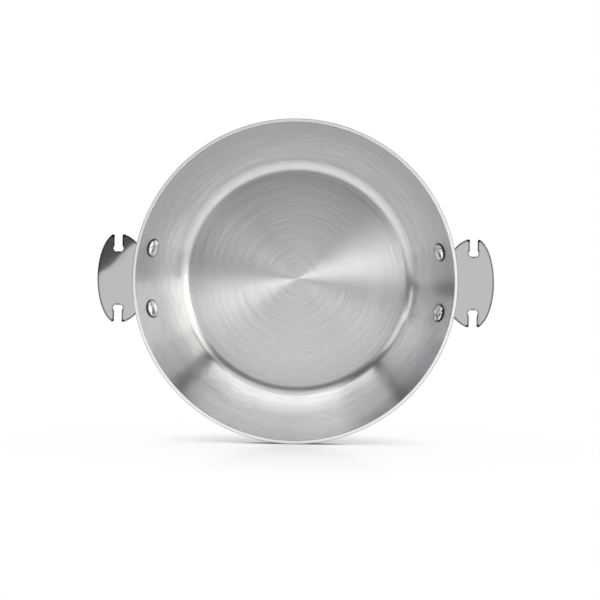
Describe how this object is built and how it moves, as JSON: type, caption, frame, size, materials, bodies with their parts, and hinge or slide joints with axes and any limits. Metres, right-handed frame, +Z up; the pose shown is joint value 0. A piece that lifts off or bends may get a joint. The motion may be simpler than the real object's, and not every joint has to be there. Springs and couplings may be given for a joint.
{
  "type": "stainless steel frying pan",
  "caption": "Round clad stainless frying pan with a flat base, curved flared wall and two riveted lugs, notched for a clip-on handle.",
  "frame": {"origin": "centre of the base's underside, with the pan resting on its base", "axes": "+Z up out of the pan's mouth, X through the two lugs with the right-hand lug at +X, +Y to the top of the picture"},
  "size_m": [0.293, 0.24, 0.045],
  "materials": {
    "brushed_stainless": "fine concentric lathe brushing",
    "aluminium_core": "cut and ground edge, seen only at the rim",
    "satin_stainless": "satin, with fine rings",
    "polished_stainless": "mirror polished plate",
    "rivet_stainless": "mirror polished heads"
  },
  "bodies": {
    "root": {"inner_steel_ply": "brushed_stainless", "aluminium_core": "aluminium_core", "outer_steel_ply": "satin_stainless", "left_handle_lug": "polished_stainless", "right_handle_lug": "polished_stainless", "left_rear_rivet": "rivet_stainless", "left_front_rivet": "rivet_stainless", "right_rear_rivet": "rivet_stainless", "right_front_rivet": "rivet_stainless"}
  },
  "joints": []
}
